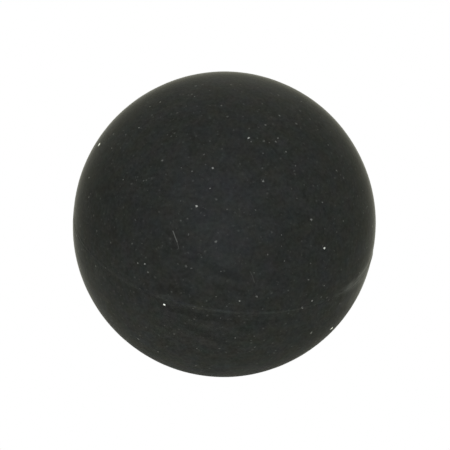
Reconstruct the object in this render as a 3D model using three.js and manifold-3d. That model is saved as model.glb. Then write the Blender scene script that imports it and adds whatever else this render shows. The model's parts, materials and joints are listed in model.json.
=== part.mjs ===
// Case opening friction ball: a hollow, inflated ball of soft black rubber. A watchmaker presses it
// on a screwed case back and turns it by hand, and friction drives the back.
// Millimetres, +Z up. The origin is the ball's centre, and +Z is its pole axis, square to the seam.
// Two half shells are cemented rim to rim at the seam. A needle valve sits at the lower pole.
import * as THREE from "three";
import { mergeVertices } from "three/addons/utils/BufferGeometryUtils.js";
import Module from "manifold-3d";

// Shells
const BALL_RADIUS = 32.5;
const WALL = 6;
const CHAMBER_RADIUS = BALL_RADIUS - WALL;

// Seam cement, a flat layer between the rims with a small bead on each side of the wall
const SEAM_THICKNESS = 0.8;
const SEAM_HALF = SEAM_THICKNESS / 2;
const OUTER_BEAD = 0.1;
const INNER_BEAD = 0.9;

// Valve seat in the lower half shell
const HOLE_RADIUS = 4;
const SEAT_RADIUS = 10;
const SEAT_HEIGHT = -25;

// Valve housing and the cement under its flange
const VALVE_CEMENT_THICKNESS = 0.3;
const FLANGE_RADIUS = 9;
const FLANGE_THICKNESS = 2;
const FLANGE_EDGE = 0.5;
const BOSS_RADIUS = 4.6;
const BOSS_LENGTH = 6;

// Valve plug, from its head at the ball's surface to its tip inside the housing
const HEAD_RADIUS = 3;
const HEAD_THICKNESS = 1.2;
const BARREL_RADIUS = 2.2;
const RIDGE_RADIUS = 2.9;
const RIDGE_LENGTH = 1.6;
const TIP_RADIUS = 1.6;
const TIP_LENGTH = 2.5;
const ORIFICE_RADIUS = 1.4;
const ORIFICE_LENGTH = 1;
const MOUTH_RADIUS = 1;
const MOUTH_DEPTH = 0.8;
const NEEDLE_HOLE_RADIUS = 0.6;
const SLIT_LENGTH = 5;
const SLIT_WIDTH = 2;
const SLIT_GAP = 0.12;

// Facets
const SEGMENTS = 48;
const OUTER_RINGS = 12;
const INNER_RINGS = 8;

const BLACK_RUBBER = { color: 0x2a2c29, roughness: 0.85, metalness: 0 };
const SEAM_RUBBER = { color: 0x33352f, roughness: 0.75, metalness: 0 };
const VALVE_RUBBER = { color: 0x1c1d1b, roughness: 0.7, metalness: 0 };
const CEMENT = { color: 0x4a4638, roughness: 0.6, metalness: 0 };
const PLUG_RUBBER = { color: 0x232421, roughness: 0.55, metalness: 0 };

const wasm = await Module();
wasm.setup();

// The height of a half shell's outer face at a distance from the pole axis.
function surfaceHeight(distance) {
  return SEAM_HALF + Math.sqrt(BALL_RADIUS ** 2 - distance ** 2);
}

// [radius, height] points on a half shell's arc, between two angles above its rim.
function arc(radius, from, to, rings) {
  const points = [];
  for (let i = 0; i <= rings; i += 1) {
    const angle = from + ((to - from) * i) / rings;
    points.push([radius * Math.cos(angle), SEAM_HALF + radius * Math.sin(angle)]);
  }
  return points;
}

// The same profile below the seam, in the order that keeps its faces outward.
function mirrored(profile) {
  return profile.map(([radius, height]) => [radius, -height]).reverse();
}

// A solid of revolution about +Z. The profile runs upward on its outer side.
function turned(profile) {
  const points = profile.map(([radius, height]) => new THREE.Vector2(Math.max(radius, 0), height));
  return new THREE.LatheGeometry(points, SEGMENTS).rotateX(Math.PI / 2);
}

function closed(profile) {
  return [...profile, profile[0]];
}

function mesh(name, geometry, look) {
  const piece = new THREE.Mesh(geometry, new THREE.MeshStandardMaterial(look));
  piece.name = name;
  return piece;
}

function solid(geometry) {
  const bare = geometry.clone().deleteAttribute("normal").deleteAttribute("uv");
  const merged = mergeVertices(bare, 1e-3);
  return new wasm.Manifold(
    new wasm.Mesh({
      numProp: 3,
      vertProperties: new Float32Array(merged.attributes.position.array),
      triVerts: new Uint32Array(merged.index.array),
    }),
  );
}

function geometryOf(manifold) {
  const cut = manifold.getMesh();
  const geometry = new THREE.BufferGeometry();
  geometry.setAttribute("position", new THREE.BufferAttribute(cut.vertProperties, 3));
  geometry.setIndex(new THREE.BufferAttribute(cut.triVerts, 1));
  return geometry;
}

function upperHalfShell() {
  const inner = arc(CHAMBER_RADIUS, Math.PI / 2, 0, INNER_RINGS);
  const outer = arc(BALL_RADIUS, 0, Math.PI / 2, OUTER_RINGS);
  return turned([...inner, ...outer]);
}

// The wall is thicker round the hole, where its inside is a flat seat for the flange.
function lowerHalfShell() {
  const seatAngle = Math.acos(SEAT_RADIUS / CHAMBER_RADIUS);
  const holeAngle = Math.acos(HOLE_RADIUS / BALL_RADIUS);
  const inner = arc(CHAMBER_RADIUS, seatAngle, 0, INNER_RINGS);
  const outer = arc(BALL_RADIUS, 0, holeAngle, OUTER_RINGS);
  const seat = [HOLE_RADIUS, -SEAT_HEIGHT];
  return turned(closed(mirrored([seat, [SEAT_RADIUS, -SEAT_HEIGHT], ...inner, ...outer])));
}

function seamCement() {
  const outside = BALL_RADIUS + OUTER_BEAD;
  const inside = CHAMBER_RADIUS - INNER_BEAD;
  return turned(
    closed([
      [CHAMBER_RADIUS, -SEAM_HALF],
      [BALL_RADIUS, -SEAM_HALF],
      [outside, -SEAM_HALF / 2],
      [outside, SEAM_HALF / 2],
      [BALL_RADIUS, SEAM_HALF],
      [CHAMBER_RADIUS, SEAM_HALF],
      [inside, SEAM_HALF / 2],
      [inside, -SEAM_HALF / 2],
    ]),
  );
}

const FLANGE_BASE = SEAT_HEIGHT + VALVE_CEMENT_THICKNESS;
const FLANGE_TOP = FLANGE_BASE + FLANGE_THICKNESS;
const HOUSING_TOP = FLANGE_TOP + BOSS_LENGTH;
const HEAD_FACE = -surfaceHeight(HEAD_RADIUS);
const PLUG_TOP = HOUSING_TOP - ORIFICE_LENGTH;

// The side of the plug and of the housing's bore, from the head up to the tip.
function plugSide() {
  const shoulder = HEAD_FACE + HEAD_THICKNESS;
  const taperBase = PLUG_TOP - TIP_LENGTH;
  const ridgeMiddle = (shoulder + taperBase) / 2;
  return [
    [HEAD_RADIUS, HEAD_FACE],
    [HEAD_RADIUS, shoulder],
    [BARREL_RADIUS, shoulder],
    [BARREL_RADIUS, ridgeMiddle - RIDGE_LENGTH],
    [RIDGE_RADIUS, ridgeMiddle],
    [BARREL_RADIUS, ridgeMiddle + RIDGE_LENGTH],
    [BARREL_RADIUS, taperBase],
    [TIP_RADIUS, PLUG_TOP],
  ];
}

function valveCement() {
  return turned(
    closed([
      [HOLE_RADIUS, SEAT_HEIGHT],
      [FLANGE_RADIUS, SEAT_HEIGHT],
      [FLANGE_RADIUS, FLANGE_BASE],
      [HOLE_RADIUS, FLANGE_BASE],
    ]),
  );
}

function valveHousing() {
  const bore = plugSide().reverse();
  return turned(
    closed([
      [HOLE_RADIUS, -surfaceHeight(HOLE_RADIUS)],
      [HOLE_RADIUS, FLANGE_BASE],
      [FLANGE_RADIUS, FLANGE_BASE],
      [FLANGE_RADIUS, FLANGE_TOP - FLANGE_EDGE],
      [FLANGE_RADIUS - FLANGE_EDGE, FLANGE_TOP],
      [BOSS_RADIUS, FLANGE_TOP],
      [BOSS_RADIUS, HOUSING_TOP],
      [ORIFICE_RADIUS, HOUSING_TOP],
      [ORIFICE_RADIUS, PLUG_TOP],
      ...bore,
    ]),
  );
}

// The needle hole opens at the head and ends in a slit, which the air pressure keeps shut.
function valvePlug() {
  const holeEnd = PLUG_TOP - SLIT_LENGTH;
  const body = turned([
    [0, holeEnd],
    [NEEDLE_HOLE_RADIUS, holeEnd],
    [NEEDLE_HOLE_RADIUS, HEAD_FACE + MOUTH_DEPTH],
    [MOUTH_RADIUS, HEAD_FACE],
    ...plugSide(),
    [0, PLUG_TOP],
  ]);
  const overrun = 0.5;
  const slitLength = SLIT_LENGTH + 2 * overrun;
  const slit = new THREE.BoxGeometry(SLIT_WIDTH, SLIT_GAP, slitLength);
  slit.translate(0, 0, holeEnd - overrun + slitLength / 2);
  return geometryOf(solid(body).subtract(solid(slit)));
}

const ball = new THREE.Group();
ball.add(mesh("upper_half_shell", upperHalfShell(), BLACK_RUBBER));
ball.add(mesh("lower_half_shell", lowerHalfShell(), BLACK_RUBBER));
ball.add(mesh("seam_cement", seamCement(), SEAM_RUBBER));
ball.add(mesh("valve_housing", valveHousing(), VALVE_RUBBER));
ball.add(mesh("valve_cement", valveCement(), CEMENT));
ball.add(mesh("valve_plug", valvePlug(), PLUG_RUBBER));

export default ball;
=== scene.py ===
"""The looks of the case opening friction ball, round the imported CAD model.

The pieces and their materials are in millimetres, and MM turns them into metres. The white sheet, the
lamps and the camera are in metres from the start. Longitude runs from -Y, the side that faces the
camera, towards +X. Latitude is above the seam.
"""

import json
import math

import bpy
import numpy as np
from mathutils import Matrix, Vector, noise

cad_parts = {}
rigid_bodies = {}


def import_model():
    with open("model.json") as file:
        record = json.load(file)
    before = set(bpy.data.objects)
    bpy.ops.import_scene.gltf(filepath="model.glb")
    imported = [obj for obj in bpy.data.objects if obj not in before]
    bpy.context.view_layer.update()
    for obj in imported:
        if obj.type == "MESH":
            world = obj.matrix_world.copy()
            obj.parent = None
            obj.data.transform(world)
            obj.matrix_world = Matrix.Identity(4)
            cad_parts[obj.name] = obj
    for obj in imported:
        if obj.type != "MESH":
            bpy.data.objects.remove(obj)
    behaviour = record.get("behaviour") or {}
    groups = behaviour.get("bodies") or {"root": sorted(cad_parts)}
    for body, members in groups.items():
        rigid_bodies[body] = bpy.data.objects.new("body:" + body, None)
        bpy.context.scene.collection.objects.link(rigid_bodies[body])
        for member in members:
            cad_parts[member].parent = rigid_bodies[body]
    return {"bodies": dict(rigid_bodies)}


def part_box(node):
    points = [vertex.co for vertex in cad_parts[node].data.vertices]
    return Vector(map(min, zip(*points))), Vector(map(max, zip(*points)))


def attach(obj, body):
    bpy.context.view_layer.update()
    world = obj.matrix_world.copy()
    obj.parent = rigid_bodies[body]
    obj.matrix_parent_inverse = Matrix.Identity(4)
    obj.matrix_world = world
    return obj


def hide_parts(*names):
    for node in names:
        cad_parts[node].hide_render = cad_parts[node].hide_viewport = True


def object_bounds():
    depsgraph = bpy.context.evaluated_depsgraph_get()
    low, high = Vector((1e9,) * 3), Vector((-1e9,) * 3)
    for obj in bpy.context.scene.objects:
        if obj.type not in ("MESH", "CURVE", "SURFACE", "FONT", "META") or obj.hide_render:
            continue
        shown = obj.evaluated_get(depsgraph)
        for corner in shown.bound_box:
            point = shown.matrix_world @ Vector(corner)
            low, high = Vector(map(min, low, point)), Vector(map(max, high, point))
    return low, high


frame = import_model()
cad_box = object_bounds()

MM = 0.001
BODY = next(iter(frame["bodies"]))


def size_of(node):
    """(lowest, highest) corner of a CAD node, in millimetres."""
    return [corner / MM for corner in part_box(node)]


# Sizes that the frame gives
_, seam_high = size_of("seam_cement")
shell_low, shell_high = size_of("upper_half_shell")
_, housing_high = size_of("valve_housing")
plug_low, plug_high = size_of("valve_plug")
film_low, film_high = size_of("valve_cement")

BALL_RADIUS = shell_high.x
SEAM_HALF = shell_low.z
BEAD_PROUD = seam_high.x - BALL_RADIUS
SEAT_HEIGHT = film_low.z
FLANGE_RADIUS = housing_high.x
FLANGE_BASE = film_high.z
HOUSING_TOP = housing_high.z
PLUG_TOP = plug_high.z
HEAD_RADIUS = plug_high.x
HEAD_FACE = plug_low.z

# Sizes repeated from the CAD source
WALL = 6.0
SEAT_MARGIN = 1.0
INNER_BEAD = 0.9
HOLE_RADIUS = 4.0
FLANGE_THICKNESS = 2.0
BOSS_RADIUS = 4.6
HEAD_THICKNESS = 1.2
BARREL_RADIUS = 2.2
RIDGE_RADIUS = 2.9
RIDGE_LENGTH = 1.6
TIP_RADIUS = 1.6
TIP_LENGTH = 2.5
ORIFICE_RADIUS = 1.4
MOUTH_RADIUS = 1.0
MOUTH_DEPTH = 0.8
NEEDLE_HOLE_RADIUS = 0.6
SLIT_LENGTH = 5.0
SLIT_WIDTH = 2.0
SLIT_GAP = 0.12

CHAMBER_RADIUS = BALL_RADIUS - WALL
SEAT_RADIUS = FLANGE_RADIUS + SEAT_MARGIN

# Sizes of details that the CAD leaves out
RIM_ROUND = 0.10
HOLE_EDGE = 0.30
SEAT_EDGE = 0.4
HOUSING_EDGE = 0.30
FILM_EDGE = 0.08
FILLET_WIDTH = 0.35
FILLET_LIP = 0.05
FILLET_RISE = 0.15
FILLET_UNDERCUT = 0.1
PLUG_EDGE = 0.30
SLIT_BLEND = 0.5

# Fineness of the meshes. Up to FINE_ZONE from the rim, the shells' outer rings are FINE_STEP apart
FINE_ZONE = 2.4
FINE_STEP = 0.16
OUTER_RINGS = 104
UPPER_INNER_RINGS = 24
LOWER_INNER_RINGS = 20
RIM_POINTS = 4
BEAD_RINGS = 9
CORNER_POINTS = 5
SHELL_SEGMENTS = 600
VALVE_SEGMENTS = 160

# The last rings by the upper pole, in radians from it. A fan of faces closes them
OUTER_POLE = 0.006
INNER_POLE = 0.02


# ---------------------------------------------------------------- meshes


def spun(profile, segments):
    """The points of a profile of (radius, height) turned about +Z: [ring][segment] -> (x, y, z)."""
    radius, height = np.array(profile, float).T
    turn = np.linspace(0, 2 * math.pi, segments, endpoint=False)
    x = np.outer(radius, np.cos(turn))
    y = np.outer(radius, np.sin(turn))
    z = np.repeat(height[:, None], segments, axis=1)
    return np.stack([x, y, z], axis=2)


def skin(name, grid, closed):
    """A mesh object over a grid of points.

    A closed grid's last ring meets its first, and an open one ends in poles.
    """
    rings, segments = grid.shape[:2]
    points = grid.reshape(-1, 3)
    faces = []
    for ring in range(rings if closed else rings - 1):
        low = ring * segments
        high = (ring + 1) % rings * segments
        for i in range(segments):
            j = (i + 1) % segments
            faces.append((low + i, low + j, high + j, high + i))
    if not closed:
        first, last = grid[0].mean(axis=0), grid[-1].mean(axis=0)
        points = np.vstack([points, first, last])
        south, north = len(points) - 2, len(points) - 1
        top = (rings - 1) * segments
        for i in range(segments):
            j = (i + 1) % segments
            faces.append((south, j, i))
            faces.append((north, top + i, top + j))
    mesh = bpy.data.meshes.new(name)
    mesh.from_pydata((points * MM).tolist(), [], faces)
    mesh.validate()
    mesh.shade_smooth()
    piece = bpy.data.objects.new(name, mesh)
    bpy.context.scene.collection.objects.link(piece)
    return piece


def rounded(profile, radius):
    """A closed profile with each corner eased by that much, or by less on a short side."""
    corners = [Vector(point) for point in profile]
    points = []
    for i, corner in enumerate(corners):
        before = corners[i - 1] - corner
        after = corners[(i + 1) % len(corners)] - corner
        reach = min(radius, 0.45 * before.length, 0.45 * after.length)
        start = corner + before.normalized() * reach
        end = corner + after.normalized() * reach
        for t in np.linspace(0, 1, CORNER_POINTS):
            points.append(tuple((1 - t) ** 2 * start + 2 * t * (1 - t) * corner + t * t * end))
    return points


def arc(radius, angles):
    """(radius, height) points of the upper half shell's arc, at these angles above its rim."""
    return [(radius * math.cos(a), SEAM_HALF + radius * math.sin(a)) for a in angles]


def mirrored(profile):
    """The same profile below the seam, in the order that keeps its faces outward."""
    return [(radius, -height) for radius, height in reversed(profile)]


# The moulded rubber's unevenness, in millimetres: long swells, orange peel, pits, and flow lines that
# run along the seam and fade away from it. Each layer of the peel is PEEL_STEP times finer
SWELL_WIDTH = 14.0
SWELL_HEIGHT = 0.05
PEEL_WIDTH = 1.6
PEEL_HEIGHT = 0.012
PEEL_FADE = 1.0
PEEL_STEP = 2.1
PEEL_LAYERS = 3
PIT_WIDTH = 0.9
PIT_DEPTH = 0.06
PIT_RARITY = 0.55
PIT_SHIFT = Vector((7.0, 3.0, 5.0))
FLOW_LENGTH = 11.0
FLOW_WIDTH = 0.9
FLOW_HEIGHT = 0.016
FLOW_REACH = 7.0


def relief(point):
    """How far the moulded rubber stands off its true sphere, in millimetres."""
    swell = SWELL_HEIGHT * noise.noise(point / SWELL_WIDTH)
    peel = PEEL_HEIGHT * noise.fractal(point / PEEL_WIDTH, PEEL_FADE, PEEL_STEP, PEEL_LAYERS)
    pits = PIT_DEPTH * max(0.0, noise.noise(point / PIT_WIDTH + PIT_SHIFT) - PIT_RARITY)
    stretched = Vector((point.x / FLOW_LENGTH, point.y / FLOW_LENGTH, point.z / FLOW_WIDTH))
    near_seam = math.exp(-((point.z / FLOW_REACH) ** 2))
    flow = FLOW_HEIGHT * near_seam * noise.noise(stretched)
    return swell + peel + flow - pits


def moulded(grid, centre_height, rings):
    """Moves the points of these rings in or out by relief, along the sphere's normal."""
    centre = Vector((0, 0, centre_height))
    for ring in rings:
        for i, place in enumerate(grid[ring]):
            point = Vector(place)
            grid[ring, i] = point + (point - centre).normalized() * relief(point)


def shell_angles(top):
    """Angles of the outer rings above the rim: fine steps by the seam, then even ones up to top."""
    zone = FINE_ZONE / BALL_RADIUS
    fine = np.arange(RIM_ROUND / BALL_RADIUS, zone, FINE_STEP / BALL_RADIUS)
    return [*fine, *np.linspace(zone, top, OUTER_RINGS)]


def rim_round():
    """The moulded rim's rounded outer edge."""
    middle = BALL_RADIUS - RIM_ROUND
    angles = np.linspace(-math.pi / 2, 0, RIM_POINTS, endpoint=False)
    return [
        (middle + RIM_ROUND * math.cos(a), SEAM_HALF + RIM_ROUND * (1 + math.sin(a)))
        for a in angles
    ]


def upper_half_shell():
    """Half of a hollow sphere, with an uneven outside."""
    inner = arc(CHAMBER_RADIUS, np.linspace(math.pi / 2 - INNER_POLE, 0, UPPER_INNER_RINGS))
    outer = arc(BALL_RADIUS, shell_angles(math.pi / 2 - OUTER_POLE))
    profile = [*inner, *rim_round(), *outer]
    grid = spun(profile, SHELL_SEGMENTS)
    moulded(grid, SEAM_HALF, range(len(profile) - len(outer), len(profile)))
    return skin("upper_half_shell_rubber", grid, closed=False)


def lower_half_shell():
    """The same half with the valve's hole, and with a flat seat inside round it."""
    seat_angle = math.acos(SEAT_RADIUS / CHAMBER_RADIUS)
    top = math.acos((HOLE_RADIUS + HOLE_EDGE) / BALL_RADIUS)
    inner = arc(CHAMBER_RADIUS, np.linspace(seat_angle, 0, LOWER_INNER_RINGS))
    outer = arc(BALL_RADIUS, shell_angles(top))
    edge_height = outer[-1][1]
    seat = [(HOLE_RADIUS, -SEAT_HEIGHT), (SEAT_RADIUS - SEAT_EDGE, -SEAT_HEIGHT)]
    hole = [
        (HOLE_RADIUS + 0.3 * HOLE_EDGE, edge_height - 0.2 * HOLE_EDGE),
        (HOLE_RADIUS, edge_height - HOLE_EDGE),
    ]
    profile = mirrored([*seat, *inner, *rim_round(), *outer, *hole])
    grid = spun(profile, SHELL_SEGMENTS)
    moulded(grid, -SEAM_HALF, range(len(hole), len(hole) + len(outer)))
    return skin("lower_half_shell_rubber", grid, closed=True)


# The seam's bead, in millimetres: how far its outer and inner sides spread past the rims, how deep
# their edges tuck in between them, and how far the outer edges drop
OUTER_SPREAD = 0.12
INNER_SPREAD = 0.6 * SEAM_HALF
OUTER_TUCK = 0.3
INNER_TUCK = 0.2
EDGE_DROP = 0.06

# Its even height, and what its lumps and bumps add, as shares of how proud it stands in the CAD
BEAD_LEVEL = 0.4
LUMP_SHARE = 0.9
BUMP_SHARE = 0.4

# The length of the lumps and bumps, in millimetres. The shift puts the higher part on the front
LUMP_LENGTH = 6.0
BUMP_LENGTH = 0.7
LUMP_SHIFT = Vector((1.7, 10.4, 4.5))

# How far the bead leaves the seam plane, in millimetres: in slow bends and with the bumps
BEND_REACH = 0.12
BEND_RATE = 5.0
BUMP_REACH = 0.05


def bead_place(place, crown):
    """A point of the bead's outer side, moved by noise: crown is 1 at its middle and 0 at its edges."""
    point = Vector(place)
    outward = Vector((point.x, point.y, 0)).normalized()
    slow = noise.noise(point / LUMP_LENGTH + LUMP_SHIFT)
    fast = noise.noise(point / BUMP_LENGTH)
    height = crown * BEAD_PROUD * (BEAD_LEVEL + LUMP_SHARE * slow + BUMP_SHARE * fast)
    rise = relief(outward * BALL_RADIUS) + height
    wander = BEND_REACH * noise.noise(outward * BEND_RATE) + BUMP_REACH * fast
    return point + outward * rise + Vector((0, 0, wander * crown))


def seam_bead():
    """The cured cement, flat between the rims, with an uneven bead squeezed out on both sides."""
    across = np.linspace(-1, 1, BEAD_RINGS)
    crowns = [math.cos(t * math.pi / 2) for t in across]
    outer_half = SEAM_HALF + OUTER_SPREAD
    inner_half = SEAM_HALF + INNER_SPREAD
    outer = [(BALL_RADIUS - EDGE_DROP * (1 - crown), t * outer_half) for t, crown in zip(across, crowns)]
    inner = [(CHAMBER_RADIUS - INNER_BEAD * crown, -t * inner_half) for t, crown in zip(across, crowns)]
    profile = [
        (BALL_RADIUS - OUTER_TUCK, -SEAM_HALF),
        *outer,
        (BALL_RADIUS - OUTER_TUCK, SEAM_HALF),
        (CHAMBER_RADIUS + INNER_TUCK, SEAM_HALF),
        *inner,
        (CHAMBER_RADIUS + INNER_TUCK, -SEAM_HALF),
    ]
    grid = spun(profile, 2 * SHELL_SEGMENTS)
    for ring, crown in enumerate(crowns, start=1):
        grid[ring] = [bead_place(place, crown) for place in grid[ring]]
    return skin("seam_cement_bead", grid, closed=True)


def plug_side():
    """The side of the plug and of the housing's bore, from the head up to the tip."""
    shoulder = HEAD_FACE + HEAD_THICKNESS
    taper_base = PLUG_TOP - TIP_LENGTH
    middle = (shoulder + taper_base) / 2
    return [
        (HEAD_RADIUS, HEAD_FACE),
        (HEAD_RADIUS, shoulder),
        (BARREL_RADIUS, shoulder),
        (BARREL_RADIUS, middle - RIDGE_LENGTH),
        (RIDGE_RADIUS, middle),
        (BARREL_RADIUS, middle + RIDGE_LENGTH),
        (BARREL_RADIUS, taper_base),
        (TIP_RADIUS, PLUG_TOP),
    ]


def valve_housing():
    """The stepped bush: its flange is inside the ball, and its bore fits the plug."""
    face = -SEAM_HALF - math.sqrt(BALL_RADIUS**2 - HOLE_RADIUS**2)
    flange_top = FLANGE_BASE + FLANGE_THICKNESS
    profile = [
        (HOLE_RADIUS, face),
        (HOLE_RADIUS, FLANGE_BASE),
        (FLANGE_RADIUS, FLANGE_BASE),
        (FLANGE_RADIUS, flange_top),
        (BOSS_RADIUS, flange_top),
        (BOSS_RADIUS, HOUSING_TOP),
        (ORIFICE_RADIUS, HOUSING_TOP),
        (ORIFICE_RADIUS, PLUG_TOP),
        *reversed(plug_side()),
    ]
    grid = spun(rounded(profile, HOUSING_EDGE), VALVE_SEGMENTS)
    return skin("valve_housing_rubber", grid, closed=True)


def valve_film():
    """The cement under the flange, with a small fillet squeezed out round it."""
    profile = [
        (HOLE_RADIUS, SEAT_HEIGHT),
        (FLANGE_RADIUS + FILLET_WIDTH, SEAT_HEIGHT),
        (FLANGE_RADIUS + FILLET_LIP, FLANGE_BASE + FILLET_RISE),
        (FLANGE_RADIUS - FILLET_UNDERCUT, FLANGE_BASE),
        (HOLE_RADIUS, FLANGE_BASE),
    ]
    grid = spun(rounded(profile, FILM_EDGE), VALVE_SEGMENTS)
    return skin("valve_cement_film", grid, closed=True)


def valve_plug():
    """The needle hole opens at the head, and flattens at its end into a slit cut through the tip."""
    hole_end = PLUG_TOP - SLIT_LENGTH
    side = plug_side()
    slit = [(SLIT_WIDTH / 2, PLUG_TOP), (SLIT_WIDTH / 2, hole_end)]
    hole = [
        (NEEDLE_HOLE_RADIUS, hole_end - SLIT_BLEND),
        (NEEDLE_HOLE_RADIUS, HEAD_FACE + MOUTH_DEPTH),
        (MOUTH_RADIUS, HEAD_FACE),
    ]
    grid = spun(rounded([*side, *slit, *hole], PLUG_EDGE), VALVE_SEGMENTS)
    first = len(side) * CORNER_POINTS
    last = first + len(slit) * CORNER_POINTS
    grid[first:last, :, 1] *= SLIT_GAP / SLIT_WIDTH
    return skin("valve_plug_rubber", grid, closed=True)


# ---------------------------------------------------------------- materials


# Round spots are pushed out of round by noise of this size and reach, in millimetres
RAGGED_SIZE = 0.35
RAGGED_REACH = 0.45

# How dull the dusty rubber's weak sheen is
COAT_ROUGHNESS = 0.45


class Shader:
    """A node tree that is written as calls. An input is a socket, which is linked, or a plain value."""

    def __init__(self, name):
        self.material = bpy.data.materials.new(name)
        self.material.use_nodes = True
        self.tree = self.material.node_tree
        self.tree.nodes.clear()
        place = self.add("ShaderNodeTexCoord", "Object")
        self.mm = self.add("ShaderNodeVectorMath", 0, {0: place, "Scale": 1 / MM}, operation="SCALE")
        self.crooked = self.jittered(RAGGED_SIZE, RAGGED_REACH)

    def jittered(self, size, reach):
        """The place, pushed about by up to half the reach, so that round spots on it come out ragged."""
        push = self.add("ShaderNodeTexNoise", "Color", {"Vector": self.mm, "Scale": 1 / size, "Detail": 1.0})
        centred = self.add("ShaderNodeVectorMath", 0, [push, (0.5, 0.5, 0.5)], operation="SUBTRACT")
        return self.add("ShaderNodeVectorMath", 0, [centred, (reach,) * 3, self.mm], operation="MULTIPLY_ADD")

    def add(self, kind, output=0, inputs=(), **settings):
        """One output of a new node of this kind, once its settings and inputs are in."""
        node = self.tree.nodes.new(kind)
        for key, value in settings.items():
            setattr(node, key, value)
        pairs = inputs.items() if isinstance(inputs, dict) else enumerate(inputs)
        for key, value in pairs:
            if isinstance(value, bpy.types.NodeSocket):
                self.tree.links.new(value, node.inputs[key])
            elif value is not None:
                node.inputs[key].default_value = value
        return node.outputs[output]

    def math(self, operation, a, b=None, c=None):
        return self.add("ShaderNodeMath", 0, [a, b, c], operation=operation)

    def step(self, value, low, high, out_low=0.0, out_high=1.0):
        """A smooth ramp from out_low at low to out_high at high."""
        inputs = {"Value": value, "From Min": low, "From Max": high, "To Min": out_low, "To Max": out_high}
        return self.add("ShaderNodeMapRange", "Result", inputs, interpolation_type="SMOOTHSTEP")

    def noise(self, size, detail=2.0, stretch=(1, 1, 1), shift=(0, 0, 0), roughness=0.5):
        """Noise from 0 to 1, with features about size millimetres across."""
        vector = self.add("ShaderNodeVectorMath", 0, [self.mm, stretch, shift], operation="MULTIPLY_ADD")
        inputs = {"Vector": vector, "Scale": 1 / size, "Detail": detail, "Roughness": roughness}
        return self.add("ShaderNodeTexNoise", "Fac", inputs)

    def cells(self, size, shift=(0, 0, 0)):
        """(distance to the nearest grain, two random numbers of that grain), for grains about size apart."""
        vector = self.add("ShaderNodeVectorMath", 0, [self.crooked, shift], operation="ADD")
        node = self.add("ShaderNodeTexVoronoi", "Distance", {"Vector": vector, "Scale": 1 / size}).node
        apart = self.math("MULTIPLY", node.outputs["Distance"], size)
        split = self.add("ShaderNodeSeparateColor", 0, [node.outputs["Color"]]).node
        return apart, split.outputs[0], split.outputs[1]

    def colour(self, r, g, b):
        return self.add("ShaderNodeCombineColor", 0, [r, g, b])

    def finish(self, colour, roughness, height, depth, level, coat=0.0):
        """Joins it up: height is from 0 to 1, and depth is what 1 stands for, in millimetres."""
        bump = self.add("ShaderNodeBump", 0, {"Height": height, "Distance": depth * MM, "Strength": 1.0})
        inputs = {
            "Base Color": colour,
            "Roughness": roughness,
            "Normal": bump,
            "Specular IOR Level": level,
            "Coat Weight": coat,
            "Coat Roughness": COAT_ROUGHNESS,
            "Coat Normal": bump,
        }
        shader = self.add("ShaderNodeBsdfPrincipled", 0, inputs)
        self.add_output(shader)
        return self.material

    def add_output(self, shader):
        output = self.tree.nodes.new("ShaderNodeOutputMaterial")
        self.tree.links.new(shader, output.inputs["Surface"])


def on_ball(longitude, latitude):
    """The point on the half shells' outside, in millimetres. Their centres are half a seam apart."""
    a, b = math.radians(longitude), math.radians(latitude)
    direction = Vector((math.sin(a) * math.cos(b), -math.cos(a) * math.cos(b), math.sin(b)))
    return direction * (BALL_RADIUS + SEAM_HALF * abs(direction.z))


# Grains and lint that stand out, as longitude, latitude, radius in millimetres and brightness
BRIGHT_GRAINS = [
    (-17, -2.5, 0.30, 0.85),
    (43, 21.5, 0.28, 0.55),
    (9.5, 65, 0.25, 0.30),
    (-13, 36.5, 0.28, 0.30),
    (9.5, 5, 0.25, 0.20),
    (-74, 21, 0.22, 0.20),
    (-27, 10.5, 0.25, 0.18),
    (-11, 51, 0.22, 0.16),
    (38, 2, 0.25, 0.16),
    (17, 48.5, 0.28, 0.11),
    (-85, 59, 0.22, 0.16),
    (-70, 49, 0.24, 0.15),
    (43, 7, 0.22, 0.12),
    (-20, -31, 0.22, 0.12),
    (-50, -3, 0.22, 0.09),
    (25, 20, 0.22, 0.08),
    (54.5, 73, 0.23, 0.10),
    (36.5, 58.5, 0.24, 0.08),
    (31.5, 63, 0.24, 0.08),
    (71, 11, 0.25, 0.07),
    (57, -20, 0.48, 1.0),
    (-87, 29.2, 0.50, 1.0),
    (130, 30, 0.28, 0.50),
    (-140, -20, 0.26, 0.40),
    (170, 12, 0.24, 0.35),
    (100, -35, 0.28, 0.30),
]

# Short fibres, each as the longitudes and latitudes it passes, a half width and a brightness
FIBRES = [
    ([(-19.5, 25.7), (-18, 24), (-16.8, 22.6)], 0.09, 0.07),
    ([(-16.8, 22.6), (-15.5, 20.5)], 0.08, 0.025),
    ([(14, 12.5), (13, 15), (12, 16.5)], 0.09, 0.018),
    ([(120, 5), (122, 8), (126, 10)], 0.09, 0.06),
    ([(-150, 40), (-146, 42)], 0.08, 0.05),
]

# Wiped and smeared places, with painted shade and a painted highlight by the seam and painted shade on the
# left side: longitude and latitude of the middle, half length and half width in degrees,
# slope in degrees of latitude for each degree of longitude, and strength
SMEARS_AND_PAINTED_LIGHT = [
    # The next two: painted shade just below the seam, under the bead's lower side
    (-5, -3.4, 13, 1.5, -0.03, -0.25),
    (16, -4.3, 16, 1.3, 0.02, -0.11),
    (2, 15.6, 9, 1.7, -0.30, -0.24),
    (6, 9, 7, 1.6, -0.2, -0.14),
    (-15, 4.6, 7, 2.2, 0.25, -0.22),
    (0, -12, 9, 1.7, -0.38, -0.17),
    (4, -8, 8, 1.2, -0.1, 0.16),
    (0, -16, 9, 1.8, -0.3, 0.18),
    # The next two: a painted highlight along the bead on the seam
    (-16, 0.8, 5, 1.0, 0.1, 0.26),
    (9, 0.05, 28, 0.38, 0, 0.24),
    # Painted shade: the left side made darker
    (-62, 14, 22, 20, 0, -0.16),
    (150, 8, 14, 2.0, 0.1, 0.24),
    (-120, -9, 12, 2.0, -0.1, -0.22),
]
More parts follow.
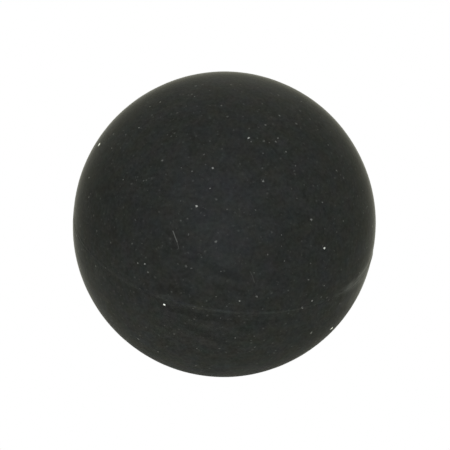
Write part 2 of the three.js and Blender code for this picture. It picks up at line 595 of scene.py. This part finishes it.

# Pale patches, in the same order, with their albedo last. The two at the right limb are partly dust and
# partly a painted reflection of the bright grazing sheen there; the one at the back is where pale dust lies
# thick
DUST_AND_SHEEN_PLACES = [
    # The next two: pale patches at the right limb, partly dust and partly a painted reflection
    (70, 0.0, 19, 2.6, 0, 0.038),
    (84, -4, 27, 9, 0, 0.025),
    (150, -1.5, 22, 3.0, 0.05, 0.012),
]


# A random grain is solid out to this share of its radius. The power spreads the strengths, and no
# grain is brighter than the last value
RANDOM_CORE = 0.3
STRENGTH_POWER = -0.6
BRIGHTEST_RANDOM_GRAIN = 0.11

# Where listed grains and fibres are solid and where fibres end, as shares of their size
LISTED_CORE = 0.4
FIBRE_CORE = 0.5
FIBRE_END = 1.5

# Where the soft patches of smears, painted light and dust are solid and where they end, as squares of shares
# of their size
PATCH_CORE = 0.1
PATCH_END = 1.6


def grains(shader, spacing, radius, spread, brightness, shift=(0, 0, 0)):
    """Dust scattered at random: most grains are faint and a few are bright."""
    apart, chance, luck = shader.cells(spacing, shift)
    reach = shader.math("MULTIPLY_ADD", chance, spread, radius)
    core = shader.math("MULTIPLY", reach, RANDOM_CORE)
    shape = shader.step(apart, reach, core)
    power = shader.math("POWER", luck, STRENGTH_POWER)
    strength = shader.math("MULTIPLY", power, brightness)
    capped = shader.math("MINIMUM", strength, BRIGHTEST_RANDOM_GRAIN)
    return shader.math("MULTIPLY", shape, capped)


def bright_grain(shader, longitude, latitude, radius, brightness):
    """One grain or piece of lint at its own place."""
    place = on_ball(longitude, latitude)
    apart = shader.add("ShaderNodeVectorMath", "Value", [shader.crooked, place], operation="DISTANCE")
    return shader.step(apart, radius, radius * LISTED_CORE, 0.0, brightness)


def fibre(shader, course, half_width, brightness):
    """The brightest of the straight pieces between the points that a fibre passes."""
    points = [on_ball(*place) for place in course]
    found = None
    for start, end in zip(points, points[1:]):
        along = end - start
        offset = shader.add("ShaderNodeVectorMath", 0, [shader.mm, start], operation="SUBTRACT")
        per_length = along / along.length_squared
        dot = shader.add("ShaderNodeVectorMath", "Value", [offset, per_length], operation="DOT_PRODUCT")
        share = shader.add("ShaderNodeClamp", 0, [dot])
        back = shader.add("ShaderNodeVectorMath", 0, {0: tuple(along), "Scale": share}, operation="SCALE")
        apart = shader.add("ShaderNodeVectorMath", "Value", [offset, back], operation="DISTANCE")
        shape = shader.step(apart, half_width * FIBRE_END, half_width * FIBRE_CORE, 0.0, brightness)
        found = shape if found is None else shader.math("MAXIMUM", found, shape)
    return found


def longitude_latitude(shader):
    """The surface's own longitude and latitude, in degrees."""
    split = shader.add("ShaderNodeSeparateXYZ", 0, [shader.mm]).node
    x, y, z = split.outputs
    front = shader.math("MULTIPLY", y, -1.0)
    longitude = shader.math("MULTIPLY", shader.math("ARCTAN2", x, front), math.degrees(1))
    height = shader.math("DIVIDE", z, BALL_RADIUS + SEAM_HALF)
    latitude = shader.math("MULTIPLY", shader.math("ARCSINE", height), math.degrees(1))
    return longitude, latitude


def soft_patch(shader, place, patch, ragged):
    """A soft-edged patch, longer along the seam than across it."""
    middle, level, half_length, half_width, slope, strength = patch
    along = shader.math("SUBTRACT", place[0], middle)
    centre = shader.math("MULTIPLY_ADD", along, slope, level)
    across = shader.math("SUBTRACT", place[1], centre)
    away = ragged
    for value, half in ((along, half_length), (across, half_width)):
        part = shader.math("DIVIDE", value, half)
        away = shader.math("MULTIPLY_ADD", part, part, away)
    return shader.step(away, PATCH_END, PATCH_CORE, 0.0, strength)


def dust_and_sheen(shader, place, ragged):
    """All pale dust, and the pale patch at the right limb that is partly a painted reflection, as an albedo
    that is added to the rubber's own.
    """
    streaks = shader.noise(1.9, detail=4.0, stretch=(0.16, 0.16, 0.9), shift=(6, 2, 3), roughness=0.6)
    streaky = shader.step(streaks, 0.30, 0.72, 0.55, 1.15)
    # Pale patches, partly a painted reflection at the right limb
    pale = [soft_patch(shader, place, patch, ragged) for patch in DUST_AND_SHEEN_PLACES]
    layers = [
        grains(shader, spacing=1.95, radius=0.22, spread=0.16, brightness=0.0145),
        grains(shader, spacing=0.9, radius=0.14, spread=0.12, brightness=0.006, shift=(31, 17, 5)),
        *(bright_grain(shader, *grain) for grain in BRIGHT_GRAINS),
        *(fibre(shader, *strand) for strand in FIBRES),
        *(shader.math("MULTIPLY", patch, streaky) for patch in pale),
    ]
    total = layers[0]
    for layer in layers[1:]:
        total = shader.math("ADD", total, layer)
    return total


def varied(shader, tone, pattern, amount):
    """The tone times a pattern from 0 to 1, which moves it by plus or minus half the amount."""
    factor = shader.math("MULTIPLY_ADD", pattern, amount, 1 - amount / 2)
    return shader.math("MULTIPLY", tone, factor)


# How much each pattern moves the bare rubber's tone or one of its colours, from darkest to lightest
FINE_GRAIN = 1.14
CLOUDS = 0.34
BLOTCHES = 0.50
STREAKS = 0.20
WARM_DRIFT = 0.34
GREEN_DRIFT = 0.14
COOL_DRIFT = 0.42

# The light line on the seam, a painted highlight along the bead: degrees of latitude where it ends and where
# it is full, and its strength
LINE_END = 0.95
LINE_CORE = 0.15
LINE_STRENGTH = 0.20


def rubber_tone(shader, place, fine, ragged):
    """How dark or light the bare rubber is: its grain, its clouds, the smears, painted shade below the seam
    and on the left side, and the light seam line, a painted highlight along the bead.
    """
    tone = shader.math("MULTIPLY_ADD", fine, FINE_GRAIN, 1 - FINE_GRAIN / 2)
    clouds = shader.noise(9.0, detail=3.0)
    blotches = shader.noise(2.6, detail=2.0, shift=(2, 6, 4))
    streaks = shader.noise(1.0, detail=3.0, stretch=(0.09, 0.09, 0.8), shift=(3, 8, 1))
    for pattern, amount in ((clouds, CLOUDS), (blotches, BLOTCHES), (streaks, STREAKS)):
        tone = varied(shader, tone, pattern, amount)
    # Smears, painted shade and a painted highlight, from the table above
    for patch in SMEARS_AND_PAINTED_LIGHT:
        smear_and_shade = soft_patch(shader, place, patch, ragged)
        tone = shader.math("MULTIPLY", tone, shader.math("ADD", smear_and_shade, 1.0))
    # The light seam line, a painted highlight along the bead, broken by noise
    line = shader.step(shader.math("ABSOLUTE", place[1]), LINE_END, LINE_CORE, 0.0, LINE_STRENGTH)
    broken = shader.step(shader.noise(7.0, detail=3.0, shift=(1, 5, 2)), 0.35, 0.65)
    return shader.math("MULTIPLY_ADD", shader.math("MULTIPLY", line, broken), tone, tone)


def tinted(shader, tone):
    """The tone in red, green and blue, each drifting a little by itself."""
    warm = shader.noise(2.6, detail=2.0, shift=(9, 1, 7))
    green = shader.noise(3.0, detail=2.0, shift=(6, 3, 1))
    cool = shader.noise(3.4, detail=2.0, shift=(4, 4, 9))
    drifts = ((warm, WARM_DRIFT), (green, GREEN_DRIFT), (cool, COOL_DRIFT))
    return [varied(shader, tone, pattern, amount) for pattern, amount in drifts]


# Base colours of the materials, and the colour of the dust and of the painted reflection at the right limb
SHELL_COLOUR = (0.0166, 0.0179, 0.0166)
SEAM_COLOUR = (0.0170, 0.0184, 0.0170)
BUSH_COLOUR = (0.013, 0.013, 0.012)
FILM_COLOUR = (0.07, 0.06, 0.04)
PLUG_COLOUR = (0.018, 0.019, 0.017)
DUST_AND_SHEEN_COLOUR = (0.98, 1.0, 0.93)


def dusty_rubber(name, base):
    """Matte black rubber, a little olive, with a fine grain, cloudy tone, smears, painted shade and a painted
    highlight by the seam, dust, and a pale patch at the right limb that is partly a painted reflection.
    """
    shader = Shader(name)
    place = longitude_latitude(shader)
    ragged = shader.math("MULTIPLY_ADD", shader.noise(3.0, detail=3.0), 1.6, -0.8)
    fine = shader.noise(0.76, detail=2.0, roughness=0.57)
    tints = tinted(shader, rubber_tone(shader, place, fine, ragged))
    pale_albedo = dust_and_sheen(shader, place, ragged)
    channels = [
        shader.math("MULTIPLY_ADD", pale_albedo, pale, shader.math("MULTIPLY", tint, dark))
        for dark, pale, tint in zip(base, DUST_AND_SHEEN_COLOUR, tints)
    ]
    roughness = shader.math("MULTIPLY_ADD", shader.noise(0.6, detail=2.0), 0.12, 0.14)
    lumps = shader.math("MINIMUM", pale_albedo, 0.15)
    height = shader.math("MULTIPLY_ADD", lumps, 3.0, fine)
    colour = shader.colour(*channels)
    return shader.finish(colour, roughness, height, depth=0.012, level=0.006, coat=0.13)


def plain_rubber(name, base, roughness, grain, depth, level=0.4):
    """A moulded rubber or cement with a fine grain, cloudy tone and a little dust."""
    shader = Shader(name)
    cloud = shader.noise(grain * 6, detail=3.0)
    fine = shader.noise(grain, detail=2.0)
    tone = shader.math("MULTIPLY_ADD", cloud, 0.5, 0.75)
    tone = varied(shader, tone, fine, 0.5)
    pale_albedo = grains(shader, spacing=1.1, radius=0.08, spread=0.10, brightness=0.02, shift=(5, 9, 2))
    channels = [shader.math("MULTIPLY_ADD", tone, value, pale_albedo) for value in base]
    gloss = shader.math("MULTIPLY_ADD", fine, 0.2, roughness - 0.1)
    return shader.finish(shader.colour(*channels), gloss, fine, depth, level=level)


# ---------------------------------------------------------------- studio


BALL_CENTRE = Vector((0, 0, 0))

# Colours of the room and the lamps, and the room's brightness
ROOM_COLOUR = (0.99, 1.0, 0.85, 1)
ROOM_STRENGTH = 0.81
COOL = (0.69, 0.72, 1.0)
WARM = (1, 0.92, 0.85)
PALE = (1, 0.98, 0.9)

# The white sheet: its half width and how far it is below the ball, in metres, its tone, and the tint
# that it shares with the painted shadow
SHEET_HALF = 3.0
FLOOR_GAP = 0.0003
PAPER_TONE = 0.74
PAPER_TINT = (1, 0.985, 0.865)

# The tone of a grey patch under the ball, a painted shadow on the sheet round its contact, with its place and
# size in millimetres
PAINTED_SHADOW_TONE = 0.42
PAINTED_SHADOW_PLACE = (10, 2, -33)
PAINTED_SHADOW_RADIUS = 42
PAINTED_SHADOW_BLUR = 14


def white_floor(lowest):
    """A large white sheet with a painted shadow on it, a grey patch round the ball.

    The camera sees it as plain white from above, and sees through it from below.
    """
    mesh = bpy.data.meshes.new("floor")
    corners = [(-1, -1), (1, -1), (1, 1), (-1, 1)]
    points = [(x * SHEET_HALF, y * SHEET_HALF, lowest) for x, y in corners]
    mesh.from_pydata(points, [], [(0, 1, 2, 3)])
    floor = bpy.data.objects.new("floor", mesh)
    bpy.context.scene.collection.objects.link(floor)
    shader = Shader("floor_white")
    lit = shader.add("ShaderNodeEmission", 0, {"Color": (1, 1, 1, 1), "Strength": 1.0})
    # The painted shadow: the paper turns grey near the ball
    away = shader.add("ShaderNodeVectorMath", "Value", [shader.mm, PAINTED_SHADOW_PLACE], operation="DISTANCE")
    tone = shader.step(away, PAINTED_SHADOW_RADIUS - PAINTED_SHADOW_BLUR, PAINTED_SHADOW_RADIUS + PAINTED_SHADOW_BLUR, PAINTED_SHADOW_TONE, PAPER_TONE)
    colour = shader.add("ShaderNodeVectorMath", 0, {0: PAPER_TINT, "Scale": tone}, operation="SCALE")
    paper = shader.add("ShaderNodeBsdfDiffuse", 0, {"Color": colour})
    seen = shader.add("ShaderNodeLightPath", "Is Camera Ray")
    above = shader.add("ShaderNodeMixShader", 0, [seen, paper, lit])
    below = shader.add("ShaderNodeBsdfTransparent", 0)
    back = shader.add("ShaderNodeNewGeometry", "Backfacing")
    shader.add_output(shader.add("ShaderNodeMixShader", 0, [back, above, below]))
    mesh.materials.append(shader.material)


def white_room():
    """Even white light from every side, with a plain white backdrop for the camera."""
    world = bpy.data.worlds.new("room")
    bpy.context.scene.world = world
    world.use_nodes = True
    tree = world.node_tree
    tree.nodes.clear()
    output = tree.nodes.new("ShaderNodeOutputWorld")
    mix = tree.nodes.new("ShaderNodeMixShader")
    path = tree.nodes.new("ShaderNodeLightPath")
    room = tree.nodes.new("ShaderNodeBackground")
    room.inputs["Color"].default_value = ROOM_COLOUR
    room.inputs["Strength"].default_value = ROOM_STRENGTH
    backdrop = tree.nodes.new("ShaderNodeBackground")
    backdrop.inputs["Color"].default_value = (1, 1, 1, 1)
    tree.links.new(path.outputs["Is Camera Ray"], mix.inputs[0])
    tree.links.new(room.outputs[0], mix.inputs[1])
    tree.links.new(backdrop.outputs[0], mix.inputs[2])
    tree.links.new(mix.outputs[0], output.inputs["Surface"])


def softbox(name, place, width, power, colour):
    """A round lamp that faces the ball. Places and widths are in metres, and power is in watts."""
    lamp = bpy.data.lights.new(name, "AREA")
    lamp.shape = "DISK"
    lamp.size = width
    lamp.energy = power
    lamp.color = colour
    holder = bpy.data.objects.new(name, lamp)
    holder.location = place
    holder.rotation_euler = (BALL_CENTRE - Vector(place)).to_track_quat("-Z", "Y").to_euler()
    bpy.context.scene.collection.objects.link(holder)
    return holder


def light_from_below():
    """Soft light through the sheet, so that the valve shows from below. It makes no highlight."""
    holder = softbox("table_light", (0, 0, -0.8), width=1.0, power=12.5, colour=PALE)
    holder.data.use_shadow = False
    holder.visible_glossy = False


# The camera: degrees above the seam plane and of lean, metres from the ball, the lens in millimetres,
# and metres that it is moved to the right and down
VIEW_ELEVATION = 32.3
VIEW_ROLL = 8.6
VIEW_DISTANCE = 0.390
LENS = 144.7
FRAME_RIGHT = 0.00018
FRAME_DOWN = 0.00014


def camera():
    """Looks down on the seam plane, and leans so that the pole axis tips to the right."""
    up_angle, roll = math.radians(VIEW_ELEVATION), math.radians(VIEW_ROLL)
    back = Vector((0, -math.cos(up_angle), math.sin(up_angle)))
    level_up = Vector((0, math.sin(up_angle), math.cos(up_angle)))
    level_right = Vector((1, 0, 0))
    right = math.cos(roll) * level_right + math.sin(roll) * level_up
    up = math.cos(roll) * level_up - math.sin(roll) * level_right
    data = bpy.data.cameras.new("camera")
    data.lens = LENS
    data.sensor_width = 36
    data.clip_start = 0.01
    data.clip_end = 20
    holder = bpy.data.objects.new("camera", data)
    place = back * VIEW_DISTANCE + right * FRAME_RIGHT - up * FRAME_DOWN
    turn = Matrix((right, up, back)).transposed().to_4x4()
    holder.matrix_world = Matrix.Translation(place) @ turn
    bpy.context.scene.collection.objects.link(holder)
    bpy.context.scene.camera = holder
    return back, right, up


# ---------------------------------------------------------------- build


def install(piece, node, material):
    """Puts a piece in place of its CAD node."""
    piece.data.materials.append(material)
    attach(piece, BODY)
    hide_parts(node)


def main():
    back, right, up = camera()
    rubber = dusty_rubber("shell_rubber", SHELL_COLOUR)
    install(upper_half_shell(), "upper_half_shell", rubber)
    install(lower_half_shell(), "lower_half_shell", rubber)
    seam = dusty_rubber("seam_cement", SEAM_COLOUR)
    install(seam_bead(), "seam_cement", seam)
    bush = plain_rubber("valve_rubber", BUSH_COLOUR, roughness=0.5, grain=0.3, depth=0.01)
    install(valve_housing(), "valve_housing", bush)
    film = plain_rubber("valve_cement", FILM_COLOUR, roughness=0.45, grain=0.4, depth=0.02)
    install(valve_film(), "valve_cement", film)
    soft = plain_rubber("plug_rubber", PLUG_COLOUR, roughness=0.4, grain=0.25, depth=0.008)
    install(valve_plug(), "valve_plug", soft)

    white_room()
    white_floor(cad_box[0].z - FLOOR_GAP)
    softbox("front_softbox", back * 1.2 + up * 0.34 - right * 0.05, width=1.30, power=7.2, colour=COOL)
    softbox("low_fill", (0, -1.3, 0.06), width=0.60, power=3.8, colour=COOL)
    softbox("back_softbox", (0, 1.1, 0.7), width=1.2, power=1.6, colour=WARM)
    light_from_below()
    bpy.context.scene.view_settings.view_transform = "Standard"


main()
